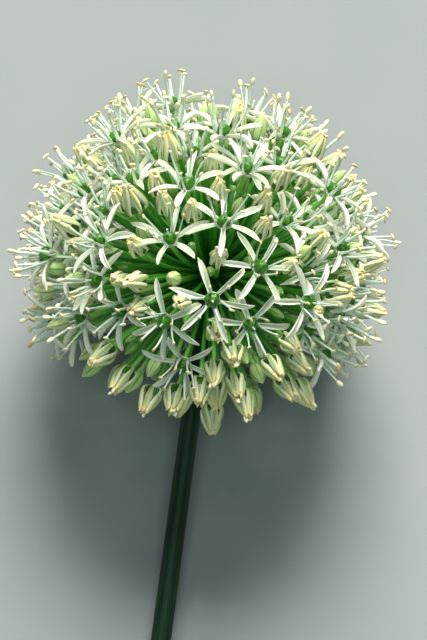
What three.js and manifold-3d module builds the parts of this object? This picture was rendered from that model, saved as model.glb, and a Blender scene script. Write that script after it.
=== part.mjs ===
// A cut flower head of a white ornamental onion, laid down on a flat surface.
//
// Millimetres, +Z up. The surface is z = 0. The stem's cut end lies on it toward -Y, and the head,
// a ball of florets on stalks that all start from one knob, is propped on its lowest florets
// toward +Y. The origin is under the middle of the whole flower.
//
// Everything green is one growth: the stem, the knob and the stalks, with the buds and half-open
// florets that they carry. Each open floret is a piece of its own on the end of its stalk.

import * as THREE from 'three';
import * as BufferGeometryUtils from 'three/addons/utils/BufferGeometryUtils.js';
import Module from 'manifold-3d';

const wasm = await Module();
wasm.setup();

const { degToRad } = THREE.MathUtils;
const SIX = [0, 1, 2, 3, 4, 5];

// ---------------------------------------------------------------- driving dimensions

// The knob that every stalk grows from, and the stem below it.
const RECEPTACLE = new THREE.Vector3(2, 28.55, 50.75);
const RECEPTACLE_RADIUS = 5;
const STEM_LENGTH = 124;
const STEM_RADIUS_TOP = 2.7;
const STEM_RADIUS_CUT = 3;
const STEM_SIDES = 12;
const STEM_BOW = 1.5;

// The ball of florets. Angles are degrees from the stem's own line, upward.
const FLORET_COUNT = 130;
const HEAD_RADIUS = 50;
const UNDERSIDE_RADIUS = 43;
const DRAWN_IN_RIGHT = 0.08;
const UNDERSIDE_STARTS = 95;
const LOWEST_FLORET = 150;
const CLOSED_BELOW = 118;

// An open floret: six tepals round an ovary, with a stamen on the foot of each tepal. A tepal's
// lift is its angle above the floret's own level.
const TEPAL_LENGTH = 10;
const TEPAL_HALF_WIDTH = 1.2;
const TEPAL_KEEL = 0.8;
const TEPAL_ARCH = 0.5;
const HUB_RADIUS = 1.9;
const HUB_DEPTH = 1.5;
const OVARY_RADIUS = 2.3;
const OVARY_SHOULDER = 1.8;
const OVARY_HEIGHT = 3.8;
const STAMEN_LENGTH = 9.5;
const STAMEN_LEAN = 24;
const STAMEN_FOOT = 0.6;
const STAMEN_SUNK = 0.15;
const STAMEN_ROOT_RADIUS = 0.4;
const ANTHER_RADIUS = 0.65;
const ANTHER_AT = 0.8;

// A half-open floret: a lantern of six bulging tepals, with a stamen up through its mouth.
const LANTERN_LENGTH = 9.5;
const LANTERN_RADIUS = 3.5;
const LANTERN_KEEL = 0.8;
const LANTERN_HALF_WIDTH = 1.3;
const LANTERN_MOUTH = 1.4;
const LANTERN_STAMEN = 10.5;

// A bud.
const BUD_LENGTH = 7.8;
const BUD_RADIUS = 2.2;
const BUD_SIDES = 5;

// The stalks. An open floret sits a hair above its stalk.
const STALK_ROOT_RADIUS = 0.5;
const STALK_TOP_RADIUS = 0.65;
const STALK_SIDES = 3;
const STALK_START = 3;
const STALK_SUNK = 0.4;
const SEAT_GAP = 0.3;

// Room is each kind's share of the distance between two florets on the ball. Open florets that
// crowd stand at different heights, and then each tepal bends clear of what it would cross.
const ROOM = { open: 8.3, half: 5.3, bud: 4 };
const SEEN_GIVE = 0.3;
const SETTLING_PASSES = 80;
const CROWDED = 24;
const LAYERS = [-1.5, 1.1, -4.1, 3.7];
const LAYER_CLEARANCE = 2;
const CLOSED_HEIGHT = { half: { below: 2, loose: 4 }, bud: { below: 4, loose: 5 } };
const TEPAL_GAP = 0.35;
const FLAT_LIFT = { least: -2, most: 16 };
const TURNS_TRIED = 6;
const BENDS = [0, 11, -11, 22, -22, 33].flatMap(
  (lift) => [0, 9, -9, 18, -18].map((swing) => ({ lift, swing })),
);

// The photo's view of the head: the pixel in front of the knob, the size of a pixel there, the
// distance of the camera and the stem's lean in the picture.
const PHOTO_CENTRE = { x: 210, y: 272 };
const MM_PER_PIXEL = 0.3;
const VIEW_DISTANCE = 900;
const STEM_LEAN = 7.6;

// The open florets that face the photo's camera, by the pixels of their green hearts.
const OPEN_FLORETS_SEEN = [
  [216, 141], [170, 134], [131, 142], [131, 178], [190, 174], [241, 174], [284, 170],
  [327, 193], [232, 213], [296, 212], [161, 234], [102, 234], [86, 194], [54, 196],
  [56, 255], [261, 272], [207, 309], [249, 315], [165, 323], [117, 317], [78, 321],
  [175, 368], [294, 302], [331, 325], [343, 255], [359, 308], [357, 208],
];

// ---------------------------------------------------------------- directions in the head

const tilt = Math.asin((RECEPTACLE.z - STEM_RADIUS_CUT) / STEM_LENGTH);
const axis = new THREE.Vector3(0, Math.cos(tilt), Math.sin(tilt));
const side = new THREE.Vector3(1, 0, 0);
const viewer = new THREE.Vector3().crossVectors(side, axis);

const mix = (...terms) => terms.reduce(
  (sum, [vector, amount]) => sum.addScaledVector(vector, amount),
  new THREE.Vector3(),
);

// A repeatable draw between 0 and 1 for floret number index.
function draw(index, channel) {
  const noise = Math.sin(index * 12.9898 + channel * 78.233) * 43758.5453;
  return noise - Math.floor(noise);
}

// The picture's right and up, as the photo's camera sees the stem lean.
const pictureRight = mix([side, Math.cos(degToRad(STEM_LEAN))], [axis, Math.sin(degToRad(STEM_LEAN))]);
const pictureUp = new THREE.Vector3().crossVectors(viewer, pictureRight);

const angleFromAxis = (direction) => THREE.MathUtils.radToDeg(direction.angleTo(axis));

// The direction of a floret that the photo shows at a pixel.
function seenDirection([pixelX, pixelY]) {
  const right = (pixelX - PHOTO_CENTRE.x) * MM_PER_PIXEL;
  const up = (PHOTO_CENTRE.y - pixelY) * MM_PER_PIXEL;
  const flat = right ** 2 + up ** 2;
  const spread = 1 + flat / VIEW_DISTANCE ** 2;
  const inside = (flat / VIEW_DISTANCE) ** 2 - spread * (flat - HEAD_RADIUS ** 2);
  const near = (flat / VIEW_DISTANCE + Math.sqrt(Math.max(inside, 0))) / spread;
  const shrink = 1 - near / VIEW_DISTANCE;
  return mix([pictureRight, right * shrink], [pictureUp, up * shrink], [viewer, near]).normalize();
}

// Evenly spread directions, from the head's top down to its lowest florets.
function spiralDirection(index) {
  const lowest = Math.cos(degToRad(LOWEST_FLORET));
  const height = 1 - ((index + 0.5) / FLORET_COUNT) * (1 - lowest);
  const turn = index * Math.PI * (3 - Math.sqrt(5));
  const out = Math.sqrt(1 - height ** 2);
  return mix([axis, height], [side, out * Math.cos(turn)], [viewer, out * Math.sin(turn)]);
}

// ---------------------------------------------------------------- layout of the florets

function kindOf(direction, index) {
  const chance = draw(index, 1);
  const facesViewer = direction.dot(viewer) > 0.1;
  if (facesViewer || angleFromAxis(direction) > CLOSED_BELOW) return chance < 0.45 ? 'half' : 'bud';
  if (chance < 0.54) return 'open';
  return chance < 0.78 ? 'half' : 'bud';
}

// Pushes two florets apart until both have room. Those that the photo places give way less.
function makeRoom(one, other) {
  const need = (ROOM[one.kind] + ROOM[other.kind]) / HEAD_RADIUS;
  const apart = one.direction.clone().sub(other.direction);
  const short = need - apart.length();
  if (short <= 0) return;
  const share = one.give / (one.give + other.give);
  one.direction.add(apart.setLength(short * share)).normalize();
  other.direction.sub(apart.setLength(short * (1 - share))).normalize();
}

// Turns a floret that was pushed too near the stem back to the lowest angle.
function keepOffStem(floret) {
  if (angleFromAxis(floret.direction) <= LOWEST_FLORET) return;
  const along = floret.direction.dot(axis);
  const out = mix([floret.direction, 1], [axis, -along]).normalize();
  const lowest = degToRad(LOWEST_FLORET);
  floret.direction.copy(mix([axis, Math.cos(lowest)], [out, Math.sin(lowest)]));
}

// The florets nearer the stem have shorter stalks, and so have those on the picture's right.
function headRadius(direction) {
  const drawnIn = (angleFromAxis(direction) - UNDERSIDE_STARTS) / (LOWEST_FLORET - UNDERSIDE_STARTS);
  const share = THREE.MathUtils.clamp(drawnIn, 0, 1);
  const toRight = Math.max(0, direction.dot(pictureRight));
  return (HEAD_RADIUS - (HEAD_RADIUS - UNDERSIDE_RADIUS) * share) * (1 - DRAWN_IN_RIGHT * toRight);
}

// How far a floret stands out beyond its base, and how wide its top is.
const REACH = {
  open: {
    top: STAMEN_LENGTH * Math.cos(degToRad(STAMEN_LEAN)),
    width: HUB_RADIUS + STAMEN_FOOT + STAMEN_LENGTH * Math.sin(degToRad(STAMEN_LEAN)),
  },
  half: { top: LANTERN_STAMEN, width: HUB_RADIUS },
  bud: { top: BUD_LENGTH, width: 0 },
};

// The longest stalk that keeps a floret off the surface under the head.
function roomAbove({ direction, kind }) {
  const down = -direction.z;
  if (down <= 0) return Infinity;
  const { top, width } = REACH[kind];
  return (RECEPTACLE.z - width * Math.sqrt(1 - down ** 2)) / down - top;
}

// An open floret takes the first height that none of its crowding open neighbours has.
function openRadius(floret, placedOpen) {
  const near = placedOpen.filter((other) => distanceBetween(floret, other) < CROWDED);
  const clear = (height) => near.every((other) => Math.abs(other.radius - height) > LAYER_CLEARANCE);
  const heights = LAYERS.map(
    (layer) => Math.min(headRadius(floret.direction) + layer, roomAbove(floret)),
  );
  return heights.find(clear) ?? heights[0];
}

// Lanterns and buds stand at loose heights, buds the lowest.
function closedRadius(floret, index) {
  const { below, loose } = CLOSED_HEIGHT[floret.kind];
  const standing = headRadius(floret.direction) - below + loose * (draw(index, 2) - 0.5);
  return Math.min(standing, roomAbove(floret));
}

// Each floret that the photo shows takes over the nearest evenly spread one.
function placeSeenFlorets(florets) {
  for (const pixel of OPEN_FLORETS_SEEN) {
    const direction = seenDirection(pixel);
    const unseen = florets.filter((floret) => !floret.seen);
    const gap = (floret) => floret.direction.distanceTo(direction);
    const nearest = unseen.reduce((best, floret) => (gap(floret) < gap(best) ? floret : best));
    Object.assign(nearest, { direction, seen: true, give: SEEN_GIVE });
  }
}

function settle(florets) {
  for (let pass = 0; pass < SETTLING_PASSES; pass += 1) {
    florets.forEach((floret, index) => {
      florets.slice(index + 1).forEach((other) => makeRoom(floret, other));
    });
    florets.forEach(keepOffStem);
  }
}

function layOutFlorets() {
  const florets = Array.from({ length: FLORET_COUNT }, (_, index) => (
    { direction: spiralDirection(index), seen: false, give: 1 }
  ));
  placeSeenFlorets(florets);
  florets.forEach((floret, index) => {
    floret.kind = floret.seen ? 'open' : kindOf(floret.direction, index);
    floret.twist = draw(index, 3) * 2 * Math.PI;
    floret.flatLift = THREE.MathUtils.lerp(FLAT_LIFT.least, FLAT_LIFT.most, draw(index, 4));
  });
  settle(florets);
  const placedOpen = [];
  florets.forEach((floret, index) => {
    const isOpen = floret.kind === 'open';
    floret.radius = isOpen ? openRadius(floret, placedOpen) : closedRadius(floret, index);
    if (isOpen) placedOpen.push(floret);
  });
  florets.forEach((floret) => { floret.beads = bodyBeads(floret); });
  placedOpen.forEach((floret) => spreadTepals(floret, florets));
  return florets;
}

// ---------------------------------------------------------------- keeping tepals clear

// Beads stand for a floret's parts while its neighbours are kept clear: [distance from the base
// along the floret's line, radius] for the cone of an open floret's stamens, a lantern and a bud.
const BODY_BEADS = {
  open: [[0.3, 2.3], [1.6, 2.6], [3, 3.2], [4.8, 4.2], [6.6, 5.2], [8.4, 6]],
  half: [[1.2, 2.2], [3, 3.2], [4.8, 3.4], [6.6, 2.6], [8.4, 1.7], [10, 0.8]],
  bud: [[0.8, 1.2], [2.4, 2], [4.2, 2.2], [6, 1.6], [7.4, 0.7]],
};
const STALK_BEADS = Array.from({ length: 10 }, (_, number) => [-1.4 - 1.5 * number, 0.7]);

// The same along a tepal: [distance from the hub, radius].
const TEPAL_BEADS = [[2, 1.1], [3.8, 1.2], [5.6, 1.2], [7.4, 1], [9, 0.7], [10, 0.4]];

const distanceBetween = (one, other) => one.direction.distanceTo(other.direction) * HEAD_RADIUS;

function bodyBeads(floret) {
  return [...STALK_BEADS, ...BODY_BEADS[floret.kind]].map(([along, radius]) => (
    { point: floret.direction.clone().multiplyScalar(floret.radius + along), radius }
  ));
}

// The directions of a floret's own frame: level with the ground ring round the stem's line, rising
// toward the head's top, and outward.
function floretFrame({ direction }) {
  const level = new THREE.Vector3().crossVectors(axis, direction).normalize();
  return { level, rising: new THREE.Vector3().crossVectors(direction, level), outward: direction };
}

function tepalBeads(floret, turn, liftDegrees) {
  const { level, rising, outward } = floretFrame(floret);
  const out = mix([level, Math.cos(turn)], [rising, Math.sin(turn)]);
  const lift = degToRad(liftDegrees);
  return TEPAL_BEADS.map(([along, radius]) => {
    const away = HUB_RADIUS + along * Math.cos(lift);
    const height = floret.radius + along * Math.sin(lift);
    return { point: mix([out, away], [outward, height]), radius };
  });
}

function clearance(beads, obstacles) {
  let least = Infinity;
  for (const { point, radius } of beads) {
    for (const other of obstacles) {
      least = Math.min(least, point.distanceTo(other.point) - radius - other.radius);
    }
  }
  return least;
}

// Turns the floret so that as few tepals as possible meet a neighbour, and bends those that do.
function spreadTepals(floret, florets) {
  const near = florets.filter((other) => other !== floret && distanceBetween(floret, other) < 32);
  const obstacles = near.flatMap((other) => other.beads);
  const tepalTurn = (twist, petal) => twist + (petal * Math.PI) / 3;
  const freedom = (turn, lift) => clearance(tepalBeads(floret, turn, lift), obstacles);
  const met = (twist) => SIX.filter(
    (petal) => freedom(tepalTurn(twist, petal), floret.flatLift) < TEPAL_GAP,
  ).length;
  const twists = Array.from({ length: TURNS_TRIED }, (_, step) => (
    floret.twist + (step * Math.PI) / 3 / TURNS_TRIED
  ));
  floret.twist = twists.reduce((best, twist) => (met(twist) < met(best) ? twist : best));
  floret.tepals = SIX.map((petal) => {
    const tries = BENDS.map(({ lift, swing }) => {
      const turn = tepalTurn(floret.twist, petal) + degToRad(swing);
      const free = freedom(turn, floret.flatLift + lift);
      return { swing: degToRad(swing), turn, lift: floret.flatLift + lift, free };
    });
    const widest = tries.reduce((best, tried) => (tried.free > best.free ? tried : best));
    return tries.find((tried) => tried.free >= TEPAL_GAP) ?? widest;
  });
  floret.tepals.forEach(({ turn, lift }) => floret.beads.push(...tepalBeads(floret, turn, lift)));
}

// ---------------------------------------------------------------- solids from rings of points

const polar = (radius, angle, z) => [radius * Math.cos(angle), radius * Math.sin(angle), z];

// A closed solid from points and outward triangles.
function solidFrom(points, triangles) {
  return new wasm.Manifold(new wasm.Mesh({
    numProp: 3,
    vertProperties: new Float32Array(points.flat()),
    triVerts: new Uint32Array(triangles.flat()),
  }));
}

// A closed solid through rings of equally many points, from the lowest ring up. It is flat at the
// bottom, and at the top too unless it rises to an apex.
function loft(rings, apex = null) {
  const count = rings[0].length;
  const points = rings.flat();
  const triangles = [];
  const last = points.length - count;
  const peak = apex === null ? last : points.push([0, 0, apex]) - 1;
  for (let step = 0; step < count; step += 1) {
    const next = (step + 1) % count;
    for (let start = 0; start < last; start += count) {
      triangles.push([start + step, start + next, start + count + next]);
      triangles.push([start + step, start + count + next, start + count + step]);
    }
    const touchesFirst = step === 0 || next === 0;
    if (!touchesFirst) triangles.push([0, next, step]);
    if (!touchesFirst || apex !== null) triangles.push([last + step, last + next, peak]);
  }
  return solidFrom(points, triangles);
}

// A ring of points round the local Z axis.
function ring(count, radius, z, phase = 0) {
  return Array.from({ length: count }, (_, step) => (
    polar(radius, phase + (2 * Math.PI * step) / count, z)
  ));
}

// A three.js geometry as a solid.
function solidOf(geometry) {
  const bare = geometry.clone();
  bare.deleteAttribute('normal');
  bare.deleteAttribute('uv');
  const merged = BufferGeometryUtils.mergeVertices(bare);
  return new wasm.Manifold(new wasm.Mesh({
    numProp: 3,
    vertProperties: merged.attributes.position.array,
    triVerts: new Uint32Array(merged.index.array),
  }));
}

function geometryOf(solid) {
  const mesh = solid.getMesh();
  const geometry = new THREE.BufferGeometry();
  geometry.setAttribute('position', new THREE.BufferAttribute(mesh.vertProperties, 3));
  geometry.setIndex(new THREE.BufferAttribute(mesh.triVerts, 1));
  geometry.computeVertexNormals();
  return geometry;
}

const placed = (solid, matrix) => solid.transform(matrix.elements);

const fused = (solids) => solids.reduce((body, solid) => body.add(solid));

// ---------------------------------------------------------------- the parts of a floret

// Six keeled tepals round a hub. Each one is flat inside, with its keel outside, and meets the next
// one in a valley at the hub. It runs from the hub through its widest place to a tip, each given
// as [distance from the floret's line, height]. The ovary stands on the hub, or the hub is bare
// where the tepals hide it.
function perianth(tepals, hasOvary) {
  const points = [[0, 0, -HUB_DEPTH], [0, 0, hasOvary ? OVARY_HEIGHT : 0]];
  const [bottom, top] = [0, 1];
  const triangles = [];
  const add = (point) => points.push(point) - 1;
  const sixth = Math.PI / 3;
  const valleys = ring(6, HUB_RADIUS, 0, -sixth / 2).map(add);
  const shoulders = hasOvary ? ring(6, OVARY_RADIUS, OVARY_SHOULDER, -sixth / 2).map(add) : valleys;
  tepals.forEach(({ swing, widest, halfWidth, keel, tip }, petal) => {
    const angle = petal * sixth + swing;
    const place = ([out, z], sideways) => {
      const [x, y] = polar(out, angle, z);
      return add([x - sideways * Math.sin(angle), y + sideways * Math.cos(angle), z]);
    };
    const next = (petal + 1) % 6;
    const [hubRight, hubLeft] = [valleys[petal], valleys[next]];
    const right = place(widest, -halfWidth);
    const left = place(widest, halfWidth);
    const ridge = place(keel, 0);
    const end = place(tip, 0);
    triangles.push([hubRight, right, left], [hubRight, left, hubLeft], [right, end, left]);
    triangles.push([hubRight, ridge, right], [ridge, hubLeft, left]);
    triangles.push([right, ridge, end], [ridge, left, end]);
    triangles.push([hubRight, bottom, ridge], [bottom, hubLeft, ridge]);
    triangles.push([shoulders[petal], shoulders[next], top]);
    if (hasOvary) {
      triangles.push([hubRight, hubLeft, shoulders[next]]);
      triangles.push([hubRight, shoulders[next], shoulders[petal]]);
    }
  });
  return solidFrom(points, triangles);
}

// A three-sided needle that is thickest at its anther.
function stamen(length) {
  const rings = [
    ring(3, STAMEN_ROOT_RADIUS, 0),
    ring(3, ANTHER_RADIUS, length * ANTHER_AT),
  ];
  return loft(rings, length);
}

// A stamen with its foot at a distance from the floret's line and a height, leaning outward.
function placedStamen(length, turn, distance, height, leanDegrees) {
  const lean = new THREE.Matrix4().makeRotationY(degToRad(leanDegrees));
  const foot = new THREE.Matrix4().makeTranslation(distance, 0, height - STAMEN_SUNK);
  return placed(stamen(length), new THREE.Matrix4().makeRotationZ(turn).multiply(foot).multiply(lean));
}

// A place on a lifted tepal, by its distance from the hub and its height above the tepal's line,
// as [distance from the floret's line, height].
function onTepal(lift, distance, above) {
  const [along, up] = [Math.cos(degToRad(lift)), Math.sin(degToRad(lift))];
  return [HUB_RADIUS + distance * along - above * up, distance * up + above * along];
}

function openFloret({ tepals }) {
  const petals = tepals.map(({ swing, lift }) => ({
    swing,
    widest: onTepal(lift, TEPAL_LENGTH * 0.5, TEPAL_ARCH),
    halfWidth: TEPAL_HALF_WIDTH,
    keel: onTepal(lift, TEPAL_LENGTH * 0.5, TEPAL_ARCH - TEPAL_KEEL),
    tip: onTepal(lift, TEPAL_LENGTH, 0),
  }));
  const stamens = tepals.map(({ swing, lift }, petal) => {
    const [distance, height] = onTepal(lift, STAMEN_FOOT, 0);
    return placedStamen(STAMEN_LENGTH, (petal * Math.PI) / 3 + swing, distance, height, STAMEN_LEAN);
  });
  return fused([perianth(petals, true), ...stamens]);
}

function lantern() {
  const tepal = {
    swing: 0,
    widest: [LANTERN_RADIUS - LANTERN_KEEL, LANTERN_LENGTH * 0.42],
    halfWidth: LANTERN_HALF_WIDTH,
    keel: [LANTERN_RADIUS, LANTERN_LENGTH * 0.4],
    tip: [LANTERN_MOUTH, LANTERN_LENGTH],
  };
  const cup = perianth(SIX.map(() => tepal), false);
  return cup.add(placedStamen(LANTERN_STAMEN, 0, HUB_RADIUS * 0.3, 0, 0));
}

// A bud and its stalk in one, as rings round its line.
function budOnStalk(baseDistance) {
  const outline = [[0.8, 0.22], [1, 0.5], [0.6, 0.84]];
  const rings = [
    ring(BUD_SIDES, STALK_ROOT_RADIUS, STALK_START),
    ring(BUD_SIDES, STALK_TOP_RADIUS, baseDistance),
    ...outline.map(([wide, z]) => ring(BUD_SIDES, wide * BUD_RADIUS, baseDistance + z * BUD_LENGTH)),
  ];
  return loft(rings, baseDistance + BUD_LENGTH);
}

function stalk(topDistance) {
  const rings = [
    ring(STALK_SIDES, STALK_ROOT_RADIUS, STALK_START),
    ring(STALK_SIDES, STALK_TOP_RADIUS, topDistance),
  ];
  return loft(rings);
}

// ---------------------------------------------------------------- the flower

// Stands a floret with its base at a distance from the knob and its Z axis pointing outward.
function floretMatrix(floret, distance) {
  const { level, rising, outward } = floretFrame(floret);
  const matrix = new THREE.Matrix4().makeBasis(level, rising, outward);
  matrix.multiply(new THREE.Matrix4().makeRotationZ(floret.twist));
  return matrix.setPosition(mix([RECEPTACLE, 1], [outward, distance]));
}

// The stem bows a little between the knob and the cut end. Its rings run from the cut end up.
function stem() {
  const stations = [1, 0.75, 0.5, 0.25, 0];
  const rings = stations.map((share) => {
    const radius = THREE.MathUtils.lerp(STEM_RADIUS_TOP, STEM_RADIUS_CUT, share);
    const bow = STEM_BOW * Math.sin(Math.PI * share);
    return ring(STEM_SIDES, radius, -STEM_LENGTH * share).map(([x, y, z]) => [x, y + bow, z]);
  });
  const frame = new THREE.Matrix4().makeBasis(side, viewer.clone().negate(), axis);
  return placed(loft(rings), frame.setPosition(RECEPTACLE));
}

function receptacle() {
  const knob = solidOf(new THREE.SphereGeometry(RECEPTACLE_RADIUS, 9, 6));
  return placed(knob, new THREE.Matrix4().setPosition(RECEPTACLE));
}

// What a floret adds to the green growth: its bare stalk, its stalk and lantern, or its bud.
const GROWTH = {
  open: (floret) => placed(stalk(floret.radius - HUB_DEPTH - SEAT_GAP), floretMatrix(floret, 0)),
  half: (floret) => placed(stalk(floret.radius - STALK_SUNK), floretMatrix(floret, 0))
    .add(placed(lantern(), floretMatrix(floret, floret.radius))),
  bud: (floret) => placed(budOnStalk(floret.radius), floretMatrix(floret, 0)),
};

function stalksAndBuds(florets) {
  return fused([stem(), receptacle(), ...florets.map((floret) => GROWTH[floret.kind](floret))]);
}

const GREEN = new THREE.MeshStandardMaterial({ color: 0x4f7d33, roughness: 0.5, metalness: 0 });
const WHITE = new THREE.MeshStandardMaterial({ color: 0xeef2df, roughness: 0.55, metalness: 0 });

const florets = layOutFlorets();
const group = new THREE.Group();

const growth = new THREE.Mesh(geometryOf(stalksAndBuds(florets)), GREEN);
growth.name = 'stem_stalks_and_buds';
group.add(growth);

florets.filter((floret) => floret.kind === 'open').forEach((floret, index) => {
  const mesh = new THREE.Mesh(geometryOf(openFloret(floret)), WHITE);
  mesh.name = `open_floret_${String(index + 1).padStart(2, '0')}`;
  mesh.applyMatrix4(floretMatrix(floret, floret.radius));
  group.add(mesh);
});

export default group;
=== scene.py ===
"""A cut flower head of a white ornamental onion, laid down on a plain pale floor.

Sizes are millimetres until a mesh is made, and the frame is the part's own: +Z up, the surface at
z = 0, the stem's cut end toward -Y. The first half repeats how the part lays out its florets,
fills the gaps between them with more, and turns those in front up. The second half grows each
organ there: tepals, stamens, ovaries, lanterns, buds, stalks and stem.
"""

import math

import bpy
import numpy as np
from mathutils import Matrix


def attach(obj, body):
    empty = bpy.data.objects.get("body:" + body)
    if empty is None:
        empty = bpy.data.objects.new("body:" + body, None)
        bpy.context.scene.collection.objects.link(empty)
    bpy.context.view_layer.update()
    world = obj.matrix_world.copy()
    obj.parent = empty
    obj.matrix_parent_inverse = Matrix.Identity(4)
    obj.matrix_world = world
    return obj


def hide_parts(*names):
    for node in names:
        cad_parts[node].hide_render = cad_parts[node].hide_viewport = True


MM = 0.001
SEED = 20

# ------------------------------ driving dimensions of the part

# The knob that every stalk grows from, and the stem below it.
RECEPTACLE = np.array([2, 28.55, 50.75])
RECEPTACLE_RADIUS = 5
STEM_LENGTH = 124
STEM_RADIUS_TOP = 2.7
STEM_RADIUS_CUT = 3
STEM_BOW = 1.5

# The ball of florets. Angles are degrees from the stem's own line, upward.
FLORET_COUNT = 130
HEAD_RADIUS = 50
UNDERSIDE_RADIUS = 43
DRAWN_IN_RIGHT = 0.08
UNDERSIDE_STARTS = 95
LOWEST_FLORET = 150
CLOSED_BELOW = 118

# An open floret.
TEPAL_LENGTH = 10
HUB_RADIUS = 1.9
HUB_DEPTH = 1.5
STAMEN_LENGTH = 9.5
STAMEN_LEAN = 24
STAMEN_FOOT = 0.6

# A half-open floret, the lantern, and a bud.
LANTERN_LENGTH = 9.5
LANTERN_STAMEN = 10.5
BUD_LENGTH = 7.8
BUD_RADIUS = 2.2

# The stalks, which are round here and three-sided in the part.
STALK_ROOT_RADIUS = 0.55
STALK_TOP_RADIUS = 0.7
STALK_START = 3

# The kinds of the florets, as limits on a draw between 0 and 1: below the first it is open, and
# below the second half open. Near the stem, and where the photo's camera would see it, none is
# open but those that the photo shows.
KINDS = {"open": 0.54, "half": 0.78}
KINDS_WHERE_SHUT = {"open": 0, "half": 0.45}
FACES_VIEWER = 0.1

# Room between the florets, and how they keep clear of each other.
ROOM = {"open": 8.3, "half": 5.3, "bud": 4}
SEEN_GIVE = 0.3
SETTLING_PASSES = 80
CROWDED = 24
LAYERS = [-1.5, 1.1, -4.1, 3.7]
LAYER_CLEARANCE = 2
CLOSED_HEIGHT = {"half": (2, 4), "bud": (4, 5)}
NEIGHBOURHOOD = 32
TEPAL_GAP = 0.35
FLAT_LIFT = (-2, 16)
TURNS_TRIED = 6
BENDS = [(lift, swing) for lift in (0, 11, -11, 22, -22, 33) for swing in (0, 9, -9, 18, -18)]

# More florets than the part carries fill the gaps between those: their room, and how far below
# the head's surface they stand and how loosely. Those that the photo places give way less. The
# others keep out of the head's open front, which is a cone of directions tilted toward the stem. A
# shift sets a spiral of florets off from the part's own spiral.
EXTRA_COUNT = 98
EXTRA_SHIFT = 0.5
EXTRA_LOWEST = 116
OPEN_FRONT = 40
OPEN_FRONT_TILT = 18
SAME_LANTERN = 6
EXTRA_KINDS = {"open": 0.62, "half": 0.84}
EXTRA_PASSES = 60
EXTRA_PUSH = 0.4
EXTRA_ROOM = {"open": 6.2, "half": 4.4, "bud": 3.3}
EXTRA_SEEN_GIVE = 0.3
EXTRA_LAYERS = [-1.5, -4, 0.5, -6, -2.8]
EXTRA_HEIGHT = {"half": (3, 7), "bud": (9, 9)}
EXTRA_FLAT_LIFT = (0, 20)
EXTRA_LANTERN_SIZE = (0.74, 0.92)

# Florets in the head's front face up from their stalks' line, those above the knob the most.
TURNED_UP = 0.6
TURNED_UP_STARTS = -0.15
TURNED_UP_FULL = 0.2

# Young buds on short stalks deep in the head: how far out they stand and how large they are.
YOUNG_COUNT = 110
YOUNG_SHIFT = 0.25
YOUNG_RADIUS = (25, 39)
YOUNG_SIZE = (0.55, 0.85)

# The photo's view of the head: the pixel in front of the knob, the size of a pixel there, the
# distance of the camera and the stem's lean in the picture.
PHOTO_SIZE = (427, 640)
PHOTO_CENTRE = (210, 272)
MM_PER_PIXEL = 0.3
VIEW_DISTANCE = 900
STEM_LEAN = 7.6

# The open florets that face the photo's camera, by the pixels of their green hearts.
OPEN_FLORETS_SEEN = [
    (216, 141), (170, 134), (131, 142), (131, 178), (190, 174), (241, 174), (284, 170),
    (327, 193), (232, 213), (296, 212), (161, 234), (102, 234), (86, 194), (54, 196),
    (56, 255), (261, 272), (207, 309), (249, 315), (165, 323), (117, 317), (78, 321),
    (175, 368), (294, 302), (331, 325), (343, 255), (359, 308), (357, 208),
]

# The half-open florets that it shows among and below those, by the pixels of their middles.
LANTERNS_SEEN = [
    (99, 159), (122, 154), (147, 121), (163, 210), (178, 217), (139, 229), (103, 208),
    (214, 208), (270, 207), (264, 242), (218, 264), (148, 283), (117, 289), (137, 305),
    (185, 294), (76, 278), (373, 260), (354, 279), (312, 260), (308, 283), (229, 338),
    (250, 339), (245, 360), (256, 368), (289, 351), (324, 349), (308, 387), (283, 387),
    (97, 357), (127, 383), (152, 391), (186, 403), (203, 403), (221, 401), (236, 390),
    (213, 412),
]

# ------------------------------ directions in the head


def unit(vectors):
    """The vectors at length 1, along the last axis."""
    return vectors / np.linalg.norm(vectors, axis=-1, keepdims=True)


def turned(direction, toward, degrees):
    """A direction turned toward another that is square to it."""
    angle = math.radians(degrees)
    return direction * math.cos(angle) + toward * math.sin(angle)


def between(limits, share):
    return limits[0] + (limits[1] - limits[0]) * share


# The stem's line, from the cut end up, the way to its side, and the way to the photo's camera.
TILT = math.asin((RECEPTACLE[2] - STEM_RADIUS_CUT) / STEM_LENGTH)
AXIS = np.array([0, math.cos(TILT), math.sin(TILT)])
SIDE = np.array([1.0, 0, 0])
VIEWER = np.cross(SIDE, AXIS)

# The middle of the head's open front, and the picture's right and up, as the camera sees the lean.
FRONT = turned(VIEWER, -AXIS, OPEN_FRONT_TILT)
PICTURE_RIGHT = turned(SIDE, AXIS, STEM_LEAN)
PICTURE_UP = np.cross(VIEWER, PICTURE_RIGHT)

# The draws that each floret has of its own. Its form is how its tepals lift, or how large it is.
KIND_DRAW = 1
HEIGHT_DRAW = 2
TWIST_DRAW = 3
FORM_DRAW = 4
OPENING_DRAW = 5
GIRTH_DRAW = 6


def draw(index, channel):
    """A repeatable draw between 0 and 1 for floret number index."""
    noise = math.sin(index * 12.9898 + channel * 78.233) * 43758.5453
    return noise - math.floor(noise)


def angle_from_axis(direction):
    return math.degrees(math.acos(min(1, max(-1, direction @ AXIS))))


def seen_direction(pixel):
    """The direction of a floret that the photo shows at a pixel."""
    right = (pixel[0] - PHOTO_CENTRE[0]) * MM_PER_PIXEL
    up = (PHOTO_CENTRE[1] - pixel[1]) * MM_PER_PIXEL
    flat = right**2 + up**2
    spread = 1 + flat / VIEW_DISTANCE**2
    inside = (flat / VIEW_DISTANCE) ** 2 - spread * (flat - HEAD_RADIUS**2)
    near = (flat / VIEW_DISTANCE + math.sqrt(max(inside, 0))) / spread
    shrink = 1 - near / VIEW_DISTANCE
    return unit(PICTURE_RIGHT * right * shrink + PICTURE_UP * up * shrink + VIEWER * near)


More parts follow.
